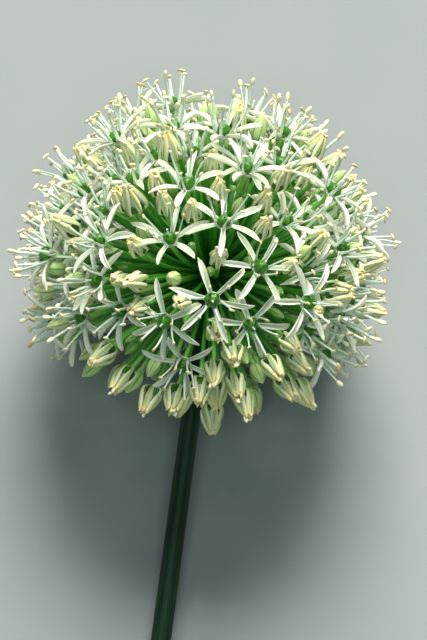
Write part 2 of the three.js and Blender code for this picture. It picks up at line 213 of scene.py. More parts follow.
def spiral_direction(index, count, lowest_angle):
    """Evenly spread directions, from the head's top down to the lowest angle."""
    lowest = math.cos(math.radians(lowest_angle))
    height = 1 - ((index + 0.5) / count) * (1 - lowest)
    turn = index * math.pi * (3 - math.sqrt(5))
    out = math.sqrt(1 - height**2)
    return AXIS * height + SIDE * out * math.cos(turn) + VIEWER * out * math.sin(turn)


# ------------------------------ layout of the florets


class Floret:
    """One floret: its direction from the knob, its kind, its height and how its tepals lie."""

    def __init__(self, index, direction):
        self.index = index
        self.direction = direction
        self.twist = draw(index, TWIST_DRAW) * 2 * math.pi
        self.seen = False
        self.give = 1
        self.size = 1
        self.turned_up = 0

    def settle_kind(self):
        self.kind = "open" if self.seen else kind_of(self.direction, self.index)
        self.flat_lift = between(FLAT_LIFT, draw(self.index, FORM_DRAW))

    def outlook(self):
        """The way that the floret faces."""
        return unit(self.direction + AXIS * self.turned_up)

    def level(self):
        """Level with the ring round the stem's line."""
        return unit(np.cross(AXIS, self.direction))

    def radial(self, turn):
        """Square to the outlook, from level through rising toward the head's top."""
        level = self.level()
        return level * math.cos(turn) + np.cross(self.outlook(), level) * math.sin(turn)

    def base(self):
        return RECEPTACLE + self.direction * self.radius


def drawn_kind(index, limits):
    chance = draw(index, KIND_DRAW)
    if chance < limits["open"]:
        return "open"
    return "half" if chance < limits["half"] else "bud"


def kind_of(direction, index):
    faces_viewer = direction @ VIEWER > FACES_VIEWER
    if faces_viewer or angle_from_axis(direction) > CLOSED_BELOW:
        return drawn_kind(index, KINDS_WHERE_SHUT)
    return drawn_kind(index, KINDS)


def distance_between(one, other):
    return np.linalg.norm(one.direction - other.direction) * HEAD_RADIUS


def make_room(one, other):
    """Pushes two florets apart until both have room. Those that the photo places give way less."""
    apart = one.direction - other.direction
    length = math.sqrt(apart @ apart)
    short = (ROOM[one.kind] + ROOM[other.kind]) / HEAD_RADIUS - length
    if short <= 0:
        return
    share = one.give / (one.give + other.give)
    push = apart * (short / length)
    one.direction = unit(one.direction + push * share)
    other.direction = unit(other.direction - push * (1 - share))


def keep_off_stem(floret):
    """Turns a floret that was pushed too near the stem back to the lowest angle."""
    if angle_from_axis(floret.direction) <= LOWEST_FLORET:
        return
    out = unit(floret.direction - AXIS * (floret.direction @ AXIS))
    floret.direction = turned(AXIS, out, LOWEST_FLORET)


def settle(florets):
    for _ in range(SETTLING_PASSES):
        for index, floret in enumerate(florets):
            for other in florets[index + 1 :]:
                make_room(floret, other)
        for floret in florets:
            keep_off_stem(floret)


def head_radius(direction):
    """The florets nearer the stem have shorter stalks, and so have those on the picture's right."""
    drawn_in = (angle_from_axis(direction) - UNDERSIDE_STARTS) / (LOWEST_FLORET - UNDERSIDE_STARTS)
    radius = HEAD_RADIUS - (HEAD_RADIUS - UNDERSIDE_RADIUS) * min(1, max(0, drawn_in))
    return radius * (1 - DRAWN_IN_RIGHT * max(0, direction @ PICTURE_RIGHT))


STAMEN_TOP = STAMEN_LENGTH * math.cos(math.radians(STAMEN_LEAN))
STAMEN_WIDTH = HUB_RADIUS + STAMEN_FOOT + STAMEN_LENGTH * math.sin(math.radians(STAMEN_LEAN))
REACH = {
    "open": (STAMEN_TOP, STAMEN_WIDTH),
    "half": (LANTERN_STAMEN, HUB_RADIUS),
    "bud": (BUD_LENGTH, 0),
}


def room_above(floret):
    """The longest stalk that keeps a floret off the surface under the head."""
    down = -floret.direction[2]
    if down <= 0:
        return math.inf
    top, width = REACH[floret.kind]
    return (RECEPTACLE[2] - width * math.sqrt(1 - down**2)) / down - top


def open_choices(floret, placed_open, layers):
    """The open neighbours that crowd a floret, and the heights that it can take."""
    near = [other for other in placed_open if distance_between(floret, other) < CROWDED]
    ceiling = room_above(floret)
    return near, [min(head_radius(floret.direction) + layer, ceiling) for layer in layers]


def open_radius(floret, placed_open):
    """The first height that none of the crowding open neighbours has."""
    near, heights = open_choices(floret, placed_open, LAYERS)
    for height in heights:
        if all(abs(other.radius - height) > LAYER_CLEARANCE for other in near):
            return height
    return heights[0]


def closed_radius(floret, heights):
    """Lanterns and buds stand at loose heights, buds the lowest."""
    below, loose = heights[floret.kind]
    standing = head_radius(floret.direction) - below + loose * (draw(floret.index, HEIGHT_DRAW) - 0.5)
    return min(standing, room_above(floret))


def place_seen_florets(florets):
    """Each floret that the photo shows takes over the nearest evenly spread one."""
    for pixel in OPEN_FLORETS_SEEN:
        direction = seen_direction(pixel)
        unseen = [floret for floret in florets if not floret.seen]
        nearest = min(unseen, key=lambda floret: np.linalg.norm(floret.direction - direction))
        nearest.direction = direction
        nearest.seen = True
        nearest.give = SEEN_GIVE


def lay_out_florets():
    directions = [spiral_direction(n, FLORET_COUNT, LOWEST_FLORET) for n in range(FLORET_COUNT)]
    florets = [Floret(index, direction) for index, direction in enumerate(directions)]
    place_seen_florets(florets)
    for floret in florets:
        floret.settle_kind()
    settle(florets)
    placed_open = []
    for floret in florets:
        if floret.kind == "open":
            floret.radius = open_radius(floret, placed_open)
            placed_open.append(floret)
        else:
            floret.radius = closed_radius(floret, CLOSED_HEIGHT)
    for floret in florets:
        floret.beads = body_beads(floret)
    for floret in placed_open:
        spread_tepals(floret, florets)
    return florets


# ------------------------------ more florets in the gaps


def extra_at(number, direction, kind=None):
    floret = Floret(FLORET_COUNT + number, direction)
    floret.seen = kind is not None
    floret.give = EXTRA_SEEN_GIVE if floret.seen else 1
    floret.kind = kind or drawn_kind(floret.index, EXTRA_KINDS)
    floret.flat_lift = between(EXTRA_FLAT_LIFT, draw(floret.index, FORM_DRAW))
    return floret


def settle_extras(extras, florets):
    """Moves the extras away from each other and from the florets that stay."""
    everyone = florets + extras
    room = np.array([EXTRA_ROOM[floret.kind] for floret in everyone]) / HEAD_RADIUS
    places = np.array([floret.direction for floret in everyone])
    gives = np.array([0.0] * len(florets) + [floret.give for floret in extras])[:, None]
    to_itself = np.diag(np.full(len(everyone), np.inf))
    for _ in range(EXTRA_PASSES):
        apart = places[:, None] - places[None]
        gaps = np.linalg.norm(apart, axis=2) + to_itself
        short = np.clip(room[:, None] + room[None] - gaps, 0, None)
        push = np.sum(apart * (short / gaps)[..., None], axis=1)
        places = unit(places + EXTRA_PUSH * push * gives)
    for floret, place in zip(extras, places[len(florets) :]):
        floret.direction = place
        keep_off_stem(floret)


def extra_open_radius(floret, placed_open):
    """The height that leaves the most room to the open neighbours, above or beside."""
    near, heights = open_choices(floret, placed_open, EXTRA_LAYERS)

    def room(height):
        return min(abs(other.radius - height) + distance_between(floret, other) for other in near)

    return max(heights, key=room) if near else heights[0]


def fill_gaps(florets):
    """Extra florets in the gaps between the part's own, the lanterns that the photo shows first.

    A lantern that the photo shows close to one of the part's own is that one, except under the
    head, where they crowd. Those that the photo doesn't place leave the head's front open, so that
    one looks in between the stalks.
    """
    lanterns = np.array([floret.direction for floret in florets if floret.kind == "half"])
    extras = []
    for number, pixel in enumerate(LANTERNS_SEEN):
        direction = seen_direction(pixel)
        nearest = np.min(np.linalg.norm(lanterns - direction, axis=1)) * HEAD_RADIUS
        hanging = angle_from_axis(direction) > CLOSED_BELOW
        if hanging or nearest > SAME_LANTERN:
            extras.append(extra_at(number, direction, "half"))
    for number in range(EXTRA_COUNT):
        direction = spiral_direction(number + EXTRA_SHIFT, EXTRA_COUNT, EXTRA_LOWEST)
        if direction @ FRONT < math.cos(math.radians(OPEN_FRONT)):
            extras.append(extra_at(len(LANTERNS_SEEN) + number, direction))
    settle_extras(extras, florets)
    placed_open = [floret for floret in florets if floret.kind == "open"]
    for floret in extras:
        if floret.kind == "open":
            floret.radius = extra_open_radius(floret, placed_open)
            placed_open.append(floret)
        elif floret.seen:
            floret.radius = HEAD_RADIUS - LANTERN_LENGTH / 2
        else:
            floret.radius = closed_radius(floret, EXTRA_HEIGHT)
        if floret.kind == "half" and angle_from_axis(floret.direction) < CLOSED_BELOW:
            floret.size = between(EXTRA_LANTERN_SIZE, draw(floret.index, FORM_DRAW))
        floret.beads = body_beads(floret)
    for floret in extras:
        if floret.kind == "open":
            spread_tepals(floret, florets + extras)
    return extras


def turn_up(florets):
    """Turns the florets in the head's front toward its top, once all of them have their places."""
    for floret in florets:
        high = (floret.direction @ AXIS - TURNED_UP_STARTS) / (TURNED_UP_FULL - TURNED_UP_STARTS)
        front = max(0, floret.direction @ VIEWER)
        floret.turned_up = TURNED_UP * front * min(1, max(0, high))


def young_buds():
    """Unopened buds between the stalks of the others."""
    young = []
    for number in range(YOUNG_COUNT):
        index = FLORET_COUNT + EXTRA_COUNT + len(LANTERNS_SEEN) + number
        floret = Floret(index, spiral_direction(number + YOUNG_SHIFT, YOUNG_COUNT, LOWEST_FLORET))
        floret.kind = "bud"
        floret.radius = between(YOUNG_RADIUS, draw(index, HEIGHT_DRAW))
        floret.size = between(YOUNG_SIZE, draw(index, FORM_DRAW))
        young.append(floret)
    return young


# ------------------------------ keeping tepals clear

# Beads stand for a floret's parts while its neighbours are kept clear: [distance from the base
# along the floret's line, radius] for its stalk, and for what stands on it.
STALK_BEADS = [(-1.4 - 1.5 * number, 0.7) for number in range(10)]
BODY_BEADS = {
    "open": [(0.3, 2.3), (1.6, 2.6), (3, 3.2), (4.8, 4.2), (6.6, 5.2), (8.4, 6)],
    "half": [(1.2, 2.2), (3, 3.2), (4.8, 3.4), (6.6, 2.6), (8.4, 1.7), (10, 0.8)],
    "bud": [(0.8, 1.2), (2.4, 2), (4.2, 2.2), (6, 1.6), (7.4, 0.7)],
}

# The same along a tepal: [distance from the hub, radius].
TEPAL_BEADS = [(2, 1.1), (3.8, 1.2), (5.6, 1.2), (7.4, 1), (9, 0.7), (10, 0.4)]


def body_beads(floret):
    """A list with one array of beads, each [x, y, z, radius] from the knob."""
    along, radius = np.array(STALK_BEADS + BODY_BEADS[floret.kind]).T
    points = floret.direction * (floret.radius + along)[:, None]
    return [np.column_stack([points, radius])]


def tepal_beads(floret, turn, lift_degrees):
    along, radius = np.array(TEPAL_BEADS).T
    lift = math.radians(lift_degrees)
    away = (HUB_RADIUS + along * math.cos(lift))[:, None]
    height = (floret.radius + along * math.sin(lift))[:, None]
    return np.column_stack([floret.radial(turn) * away + floret.direction * height, radius])


def clearance(beads, obstacles):
    apart = np.linalg.norm(beads[:, None, :3] - obstacles[None, :, :3], axis=2)
    return np.min(apart - beads[:, None, 3] - obstacles[None, :, 3])


def spread_tepals(floret, florets):
    """Turns the floret so that few tepals meet a neighbour, and bends those that do."""
    near = [
        other
        for other in florets
        if other is not floret and distance_between(floret, other) < NEIGHBOURHOOD
    ]
    obstacles = np.vstack([beads for other in near for beads in other.beads])

    def freedom(turn, lift):
        return clearance(tepal_beads(floret, turn, lift), obstacles)

    def met(twist):
        turns = [twist + (petal * math.pi) / 3 for petal in range(6)]
        return sum(freedom(turn, floret.flat_lift) < TEPAL_GAP for turn in turns)

    step = math.pi / 3 / TURNS_TRIED
    floret.twist = min((floret.twist + step * n for n in range(TURNS_TRIED)), key=met)
    floret.tepals = []
    for petal in range(6):
        tries = []
        for lift, swing in BENDS:
            turn = floret.twist + (petal * math.pi) / 3 + math.radians(swing)
            total_lift = floret.flat_lift + lift
            tries.append((freedom(turn, total_lift), turn, total_lift))
        widest = max(tries, key=lambda tried: tried[0])
        _, turn, lift = next((tried for tried in tries if tried[0] >= TEPAL_GAP), widest)
        floret.tepals.append((turn, lift))
    floret.beads += [tepal_beads(floret, turn, lift) for turn, lift in floret.tepals]


# ------------------------------ meshes from rings of points

# How far above the surface under the flower its lowest points stay.
FLOOR_GAP = 0.05

# Every organ is a row of rings, and many alike are made at once, as arrays of
# [organ, station, place on the ring, coordinate]. What differs between organs or along them is an
# array of [organ, station], or of [station] where all are alike. A vertex also carries its form:
# how far along the organ it is, its place across, a draw of the organ's own, and 1 on the outer
# face.


def column(values):
    """One value for each organ, as [organ, station]."""
    return np.array(values)[:, None]


def round_angles(around):
    return np.linspace(0, 2 * math.pi, around, endpoint=False)


def sweep(path, sideways, section):
    """Rings round each path. The section's first direction is close to sideways."""
    tangent = unit(np.gradient(path, axis=1))
    side = sideways[:, None] - tangent * np.sum(sideways[:, None] * tangent, axis=2, keepdims=True)
    side = unit(side)
    up = np.cross(tangent, side)
    return path[:, :, None] + side[:, :, None] * section[..., :1] + up[:, :, None] * section[..., 1:]


def round_section(radii, around, flattened=1.0):
    """Circles of the radii, or ellipses when flattened."""
    angle = round_angles(around)
    circle = np.column_stack([np.cos(angle), flattened * np.sin(angle)])
    return radii[..., None, None] * circle


def form_of(rings, own, across=None, outer=None, along=None):
    """The form values of rings, by default with stations evenly along the organ."""
    count, stations, around, _ = rings.shape
    form = np.zeros((count, stations, around, 4))
    form[..., 0] = np.linspace(0, 1, stations)[:, None] if along is None else along[:, None]
    form[..., 1] = np.linspace(0, 1, around, endpoint=False) if across is None else across
    form[..., 2] = own[..., None]
    form[..., 3] = 1 if outer is None else outer
    return form


def loft_faces(count, stations, around):
    ids = np.arange(stations * around).reshape(stations, around)
    following = np.roll(ids, -1, axis=1)
    quads = np.stack([ids[:-1], following[:-1], following[1:], ids[1:]], axis=-1).reshape(-1, 4)
    one = quads.tolist() + [ids[0][::-1].tolist(), ids[-1].tolist()]
    size = stations * around
    return [[corner + size * number for corner in face] for number in range(count) for face in one]


def add_object(name, data):
    added = bpy.data.objects.new(name, data)
    bpy.context.scene.collection.objects.link(added)
    return added


def make_piece(name, lofts, material, slot, *replaced):
    """One shown piece from lofts, each a pair of rings and their form values.

    What would touch the surface under the flower is pressed a little flat on it.
    """
    points, values, faces = [], [], []
    start = 0
    for rings, form in lofts:
        faces += [[start + corner for corner in face] for face in loft_faces(*rings.shape[:3])]
        points.append(rings.reshape(-1, 3) * MM)
        values.append(form.reshape(-1, 4))
        start += len(points[-1])
    points = np.vstack(points)
    points[:, 2] = np.maximum(points[:, 2], FLOOR_GAP * MM)
    mesh = bpy.data.meshes.new(name)
    mesh.from_pydata(points.tolist(), [], faces)
    mesh.polygons.foreach_set("use_smooth", [True] * len(mesh.polygons))
    attribute = mesh.attributes.new("form", "FLOAT_COLOR", "POINT")
    attribute.data.foreach_set("color", np.vstack(values).ravel())
    mesh.materials.append(material)
    mesh.update()
    piece = add_object(name, mesh)
    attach(piece, "root")
    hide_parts(*replaced)


# ------------------------------ organs of many florets at once

rng = np.random.default_rng(SEED)


def vary(organs, limits=(0, 1)):
    """A draw between the limits for each organ."""
    return rng.uniform(*limits, (len(organs), 1))


def own_draws(florets, channel):
    return column([draw(floret.index, channel) for floret in florets])


def sizes(florets):
    return column([floret.size for floret in florets])


def after(start, t):
    """0 up to the start, then evenly up to 1 at the organ's end."""
    return np.clip((t - start) / (1 - start), 0, 1)


def hump(place, middle, width):
    return np.exp(-(((place - middle) / width) ** 2))


def petal_frames(florets, turns):
    """Base points, radial, outward and sideways directions, one row for each petal."""
    base = np.array([floret.base() for floret in florets])
    outward = np.array([floret.outlook() for floret in florets])
    radial = np.array([floret.radial(turn) for floret, turn in zip(florets, turns)])
    return base, radial, outward, np.cross(outward, radial)


def open_rows(open_florets, first, step):
    """The open florets once for each tepal chosen, and those tepals' frames and lifts."""
    rows = [(floret, *tepal) for floret in open_florets for tepal in floret.tepals[first::step]]
    florets, turns, lifts = zip(*rows)
    return florets, petal_frames(florets, turns), column(np.radians(lifts))


def lantern_rows(lanterns, places):
    """The lanterns once for each place round them, in sixths of a turn, and the frames there."""
    florets = [floret for floret in lanterns for _ in places]
    turns = [floret.twist + place * math.pi / 3 for floret in lanterns for place in places]
    return florets, petal_frames(florets, turns)


def moved(start, *moves):
    """Paths from start points. Each move is a direction and how far it goes at each station."""
    path = start[:, None]
    for direction, distance in moves:
        path = path + direction[:, None] * distance[..., None]
    return path


def upright_loft(florets, own, up, out, lobes):
    """An organ about each floret's own line, from heights, radii and the lobes round it."""
    base, radial, outward, sideways = petal_frames(florets, [floret.twist for floret in florets])
    line = moved(base, (outward, up))
    angle = round_angles(lobes.shape[-1])
    spread = out[..., None] * lobes
    rings = (
        line[:, :, None]
        + radial[:, None, None] * (spread * np.cos(angle))[..., None]
        + sideways[:, None, None] * (spread * np.sin(angle))[..., None]
    )
    return rings, form_of(rings, own)


# ------------------------------ tepals

# Places across a tepal, round its section from one edge over the inner face and back under it.
INNER_FACE = np.array([1, 0.9, 0.7, 0.4, 0.12, -0.12, -0.4, -0.7, -0.9, -1])
OUTER_FACE = np.array([-0.9, -0.45, -0.14, 0.14, 0.45, 0.9])
TEPAL_PLACES = np.concatenate([INNER_FACE, OUTER_FACE])
TEPAL_OUTER = np.concatenate([np.zeros(len(INNER_FACE)), np.ones(len(OUTER_FACE))])

# A tepal's section, with places and widths as shares of its half width.
GROOVE_WIDTH = 0.22
RIM_PLACE = 0.86
RIM_WIDTH = 0.16
KEEL_WIDTH = 0.2
KEEL_DEPTH = 0.4
EDGE_THINNER = 0.45
FOLD_ROUNDNESS = 1.8
FOLD_NARROWS = 0.28
FOLD_NARROWS_UP_TO = 1.2


def tepal_section(t, half_width, fold, groove, rim, thickness):
    """Channels with a groove down the middle and a swollen rim.

    The groove and the thickness are given at the foot and at the tip, in millimetres, and the rim
    as a share of the half width.
    """
    place = TEPAL_PLACES
    inner = 1 - TEPAL_OUTER
    rise = np.abs(place) ** FOLD_ROUNDNESS * (half_width * fold)[..., None]
    rise = rise - between(groove, t)[:, None] * hump(place, 0, GROOVE_WIDTH) * inner
    rise = rise + (rim * half_width)[..., None] * hump(np.abs(place), RIM_PLACE, RIM_WIDTH) * inner
    body = (1 - EDGE_THINNER * np.abs(place)) * TEPAL_OUTER
    keel = KEEL_DEPTH * hump(place, 0, KEEL_WIDTH) * TEPAL_OUTER
    rise = rise - (body + keel) * between(thickness, t)[:, None]
    narrowing = 1 - FOLD_NARROWS * np.minimum(fold, FOLD_NARROWS_UP_TO)
    across = place * (half_width * narrowing)[..., None]
    return np.stack([across, rise], axis=-1)


def twisted(section, angle):
    """The section turned about its path by an angle."""
    cos, sin = np.cos(angle)[..., None], np.sin(angle)[..., None]
    x, y = section[..., 0], section[..., 1]
    return np.stack([x * cos - y * sin, x * sin + y * cos], axis=-1)


def tepal_loft(frames, out, up, sway, section, own, along):
    """Tepals from how far they go out, up and sideways, and from their sections."""
    base, radial, outward, sideways = frames
    path = moved(base, (radial, out), (outward, up), (sideways, sway))
    rings = sweep(path, sideways, section)
    across = TEPAL_PLACES * 0.5 + 0.5
    return rings, form_of(rings, own, across, TEPAL_OUTER, along)


def tepal_width(t, share, places, first, second):
    """Half widths along a tepal, with a share of the first outline and the rest of the second."""
    return share * np.interp(t, places, first) + (1 - share) * np.interp(t, places, second)


# Half the width of a strap with a blunt end and of one with a narrow end, by the place along it.
TEPAL_STATIONS = np.linspace(0, 1, 16) ** 0.85
TEPAL_CLAW = 1.3
STRAP_PLACES = [0, 0.12, 0.25, 0.5, 0.72, 0.86, 0.94, 0.98, 1]
BLUNT_STRAP = [1.1, 0.78, 0.84, 1.14, 1.3, 1.24, 0.94, 0.56, 0.2]
NARROW_STRAP = [1.1, 0.76, 0.82, 1.16, 1.16, 0.8, 0.42, 0.24, 0.1]
STRAP_SECTION = {"groove": (0.2, 0.08), "rim": 0.08, "thickness": (0.28, 0.18)}

# How open tepals differ: how long and broad they are, how they arch and hook along their length
# and at the very tip, lean sideways, fold along the middle and twist. Length, breadth and fold are
# shares, and the others millimetres and degrees.
TEPAL_REACH = (0.98, 1.12)
TEPAL_BREADTH = (0.9, 1.08)
TEPAL_LOOSE_LIFT = (-3, 3)
TEPAL_ARCH = (0.2, 0.9)
TEPAL_HOOK = (-1.7, 0.6)
TEPAL_NIB = (-0.5, 1.1)
TEPAL_SWAY = (-0.9, 0.9)
TEPAL_FOLD = (0.4, 1.15)
TEPAL_TWIST = (-34, 34)

# What they share: where the hook and the nib start, how the fold and the twist grow from foot to
# tip, and the cup that their feet make.
HOOK_STARTS = 0.5
NIB_STARTS = 0.85
FOLD_GROWS = (0.7, 1.2)
TWIST_GROWS = 1.5
CUP_DEPTH = 1.1
CUP_ROUNDNESS = 1.3


def open_tepals(open_florets, first):
    """Every second tepal of each open floret, from inside the cup out to a narrow hooked tip."""
    florets, frames, lift = open_rows(open_florets, first, 2)
    own = vary(florets)
    lift = lift + np.radians(vary(florets, TEPAL_LOOSE_LIFT))
    t = TEPAL_STATIONS
    reach = TEPAL_LENGTH * vary(florets, TEPAL_REACH)
    along = (reach + TEPAL_CLAW) * t - TEPAL_CLAW
    above = vary(florets, TEPAL_ARCH) * np.sin(math.pi * t)
    above = above + vary(florets, TEPAL_HOOK) * after(HOOK_STARTS, t) ** 2
    above = above + vary(florets, TEPAL_NIB) * after(NIB_STARTS, t) ** 2
    above = above - CUP_DEPTH * np.clip(-along / TEPAL_CLAW, 0, 1) ** CUP_ROUNDNESS
    out = HUB_RADIUS + along * np.cos(lift) - above * np.sin(lift)
    up = along * np.sin(lift) + above * np.cos(lift)
    sway = vary(florets, TEPAL_SWAY) * t**2
    width = tepal_width(t, vary(florets), STRAP_PLACES, BLUNT_STRAP, NARROW_STRAP)
    width = width * vary(florets, TEPAL_BREADTH)
    fold = vary(florets, TEPAL_FOLD) * between(FOLD_GROWS, t)
    section = tepal_section(t, width, fold, **STRAP_SECTION)
    turn = np.radians(vary(florets, TEPAL_TWIST)) * t**TWIST_GROWS
    return tepal_loft(frames, out, up, sway, twisted(section, turn), own, t)


# Half the width of a lantern's tepal where they part and where they are shut.
LANTERN_STATIONS = np.linspace(0, 1, 15)
LANTERN_PLACES = [0, 0.06, 0.2, 0.34, 0.5, 0.66, 0.82, 0.93, 1]
PARTED_TEPAL = [0.8, 0.52, 0.5, 0.62, 0.92, 1.06, 0.86, 0.52, 0.16]
SHUT_TEPAL = [0.9, 0.7, 0.84, 1.16, 1.46, 1.3, 0.86, 0.46, 0.16]
LANTERN_SECTION = {"groove": (0.08, 0.08), "rim": 0.06, "thickness": (0.3, 0.3)}

# A lantern's foot and mouth, as distances from its line, and how far its belly swells out past a
# straight run between them. The inner tepals bulge less. A power below 1 brings the belly nearer
# the foot, the tepals rise faster at the middle, and the lip turns out where the mouth is open.
LANTERN_FOOT = 0.7
LANTERN_BELLY = (2.3, 2.9)
LANTERN_MOUTH = (0.45, 1.2)
LANTERN_LIP = 0.6
LIP_STARTS = 0.88
INNER_BULGES_LESS = 0.25
BELLY_NEARS_FOOT = 0.56
BELLY_STEEPER = 0.04

# How the tepals of a lantern differ from each other, and how their fold grows from foot to tip.
LOOSE_MOUTH = (-0.15, 0.25)
LOOSE_BELLY = (-0.1, 0.1)
LANTERN_REACH = (0.94, 1.06)
LANTERN_SWAY = (-0.25, 0.25)
LANTERN_BREADTH = (0.92, 1.06)
LANTERN_FOLD = (0.3, 0.6)
LANTERN_TWIST = (-10, 10)


def lantern_tepals(lanterns, first):
    """Three of the six bulging tepals of each half-open floret. On some they part more."""
    florets, frames = lantern_rows(lanterns, range(first, 6, 2))
    own = vary(florets)
    opening = own_draws(florets, OPENING_DRAW)
    t = LANTERN_STATIONS
    tip = between(LANTERN_MOUTH, opening**2) + vary(florets, LOOSE_MOUTH)
    belly = between(LANTERN_BELLY, own_draws(florets, GIRTH_DRAW)) + vary(florets, LOOSE_BELLY)
    belly = belly - INNER_BULGES_LESS * first
    out = between((LANTERN_FOOT, tip), t) + belly * np.sin(math.pi * t**BELLY_NEARS_FOOT)
    out = out + LANTERN_LIP * opening * after(LIP_STARTS, t) ** 2
    up = LANTERN_LENGTH * vary(florets, LANTERN_REACH)
    up = up * (t - BELLY_STEEPER * np.sin(2 * math.pi * t))
    sway = vary(florets, LANTERN_SWAY) * t**2
    size = sizes(florets)
    width = tepal_width(t, opening, LANTERN_PLACES, PARTED_TEPAL, SHUT_TEPAL)
    width = width * size * vary(florets, LANTERN_BREADTH)
    section = tepal_section(t, width, between(LANTERN_FOLD, t), **LANTERN_SECTION)
    turn = np.radians(vary(florets, LANTERN_TWIST)) * t
    return tepal_loft(frames, out * size, up * size, sway, twisted(section, turn), own, t)


# ------------------------------ stamens

# How high the middle of a filament and of an anther stay above the surface under the flower.
FILAMENT_REST = 0.5
ANTHER_REST = 0.75

# A filament's radius and how much broader its flat foot is.
FILAMENT_STATIONS = np.linspace(0, 1, 10)
FILAMENT_SIDES = 8
FILAMENT_RADIUS = 0.4
FILAMENT_FLARE = 0.34
FLARE_TAPER = 1.8
FILAMENT_FLATTENED = 0.7
STAMEN_SWAY = (-0.8, 0.8)

# How far inside its tepal's foot an open floret's stamen stands, and how the stamens of open
# florets and of lanterns lean, how long they are as a share, and how they bow.
STAMEN_INSET = 0.3
OPEN_STAMEN_LEAN = (STAMEN_LEAN - 9, STAMEN_LEAN + 5)
OPEN_STAMEN_REACH = (0.9, 1.1)
OPEN_STAMEN_BOW = (-0.7, 0.5)
SHUT_STAMEN_LEAN = (-2, 3)
SHUT_STAMEN_REACH = (0.7, 0.98)
SHUT_STAMEN_BOW = (0.1, 0.6)

# An anther's own draw is its age. Below the first value it is young and stands upright on its
# filament; above, it lies across, and curls and thins with age.
YOUNG_ANTHER = 0.3
SHUT_ANTHER_AGES = (0, 0.8)
SHUT_ANTHER_SIZE = 0.9
OPEN_ANTHER_LENGTH = 2.5
SHUT_ANTHER_LENGTH = 2.0
ANTHER_REACH = (0.84, 1.12)
ANTHER_RADIUS = (0.78, 0.56)
ANTHER_CURL = 1.92
ANTHER_OVER_TIP = 0.1
UPRIGHT_LONGER = 1.15
UPRIGHT_SHIFT = 0.4
UPRIGHT_LOOSE = 0.3
ACROSS_LOOSE = 0.45

# An anther's stations, from its middle, and its section with two lobes.
ANTHER_STATIONS = np.linspace(-0.5, 0.5, 9)
ANTHER_SIDES = 10
ANTHER_TAPER = 1.96
ANTHER_BLUNTNESS = 0.4
ANTHER_FLATTENED = 0.8
ANTHER_FURROW = 0.22
FURROW_SIDES = 0.5

# The open florets in the head's front are past their best: older, smaller anthers on finer
# filaments. The first two are how squarely a floret faces the photo's camera.
SPENT_STARTS = 0.48
SPENT_FULL = 0.88
SPENT_AGES = 0.3
SPENT_THINS = 0.35
SPENT_SHRINKS = 0.38


def stamen_paths(frames, foot_out, foot_up, lean_degrees, length, bow):
    base, radial, outward, sideways = frames
    t = FILAMENT_STATIONS
    lean = np.radians(lean_degrees)
    bend = bow * np.sin(math.pi * t)
    along = length * t
    out = foot_out + along * np.sin(lean) + bend * np.cos(lean)
    up = foot_up + along * np.cos(lean) - bend * np.sin(lean)
    sway = vary(base, STAMEN_SWAY) * t**2
    path = moved(base, (radial, out), (outward, up), (sideways, sway))
    path[..., 2] = np.maximum(path[..., 2], FILAMENT_REST)
    return path, sideways


def filaments(path, sideways, own, size):
    """White threads, broad and flat at the foot and fine at the top."""
    radii = (FILAMENT_RADIUS + FILAMENT_FLARE * (1 - FILAMENT_STATIONS) ** FLARE_TAPER) * size
    rings = sweep(path, sideways, round_section(radii, FILAMENT_SIDES, FILAMENT_FLATTENED))
    return rings, form_of(rings, own)


def anthers(path, own, usual_length, size):
    """A two-lobed anther on each filament.

    The youngest stand in line with the filament. The others lie across it, and curl with age.
    """
    tip = path[:, -1]
    line = unit(tip - path[:, -2])
    loose = unit(rng.normal(size=tip.shape))
    upright = own < YOUNG_ANTHER
    swaying = line + UPRIGHT_LOOSE * loose
    bar = unit(np.where(upright, swaying, np.cross(line, loose) + ACROSS_LOOSE * loose))
    facing = np.where(upright, loose, swaying)
    up = unit(np.cross(bar, np.cross(facing, bar)))
    t = ANTHER_STATIONS
    curl = ANTHER_CURL * (own - YOUNG_ANTHER) * ~upright
    length = usual_length * size * vary(tip, ANTHER_REACH) * np.where(upright, UPRIGHT_LONGER, 1)
    shift = UPRIGHT_SHIFT * upright
    centre = moved(tip, (bar, (t + shift) * length), (up, ANTHER_OVER_TIP - curl * t**2))
    lowest = np.min(centre[..., 2], axis=1, keepdims=True)
    centre[..., 2] += np.clip(ANTHER_REST - lowest, 0, None)
    radii = between(ANTHER_RADIUS, own) * size * (1 - (ANTHER_TAPER * t) ** 2) ** ANTHER_BLUNTNESS
    angle = round_angles(ANTHER_SIDES)
    lobes = 1 - ANTHER_FURROW * np.cos(2 * angle) ** 2 * (np.abs(np.sin(angle)) > FURROW_SIDES)
    section = round_section(radii, ANTHER_SIDES, ANTHER_FLATTENED) * lobes[:, None]
    rings = sweep(centre, np.cross(bar, up), section)
    return rings, form_of(rings, own)


def open_stamens(open_florets):
    florets, frames, lift = open_rows(open_florets, 0, 1)
    foot_out = HUB_RADIUS + STAMEN_FOOT * np.cos(lift) - STAMEN_INSET
    foot_up = STAMEN_FOOT * np.sin(lift)
    lean = vary(florets, OPEN_STAMEN_LEAN)
    length = STAMEN_LENGTH * vary(florets, OPEN_STAMEN_REACH)
    bow = vary(florets, OPEN_STAMEN_BOW)
    path, sideways = stamen_paths(frames, foot_out, foot_up, lean, length, bow)
    own = vary(florets)
    facing = column([floret.direction @ VIEWER for floret in florets])
    spent = np.clip((facing - SPENT_STARTS) / (SPENT_FULL - SPENT_STARTS), 0, 1)
    own = own + (1 - own) * SPENT_AGES * spent
    threads = filaments(path, sideways, own, 1 - SPENT_THINS * spent)
    return threads, anthers(path, own, OPEN_ANTHER_LENGTH, 1 - SPENT_SHRINKS * spent)


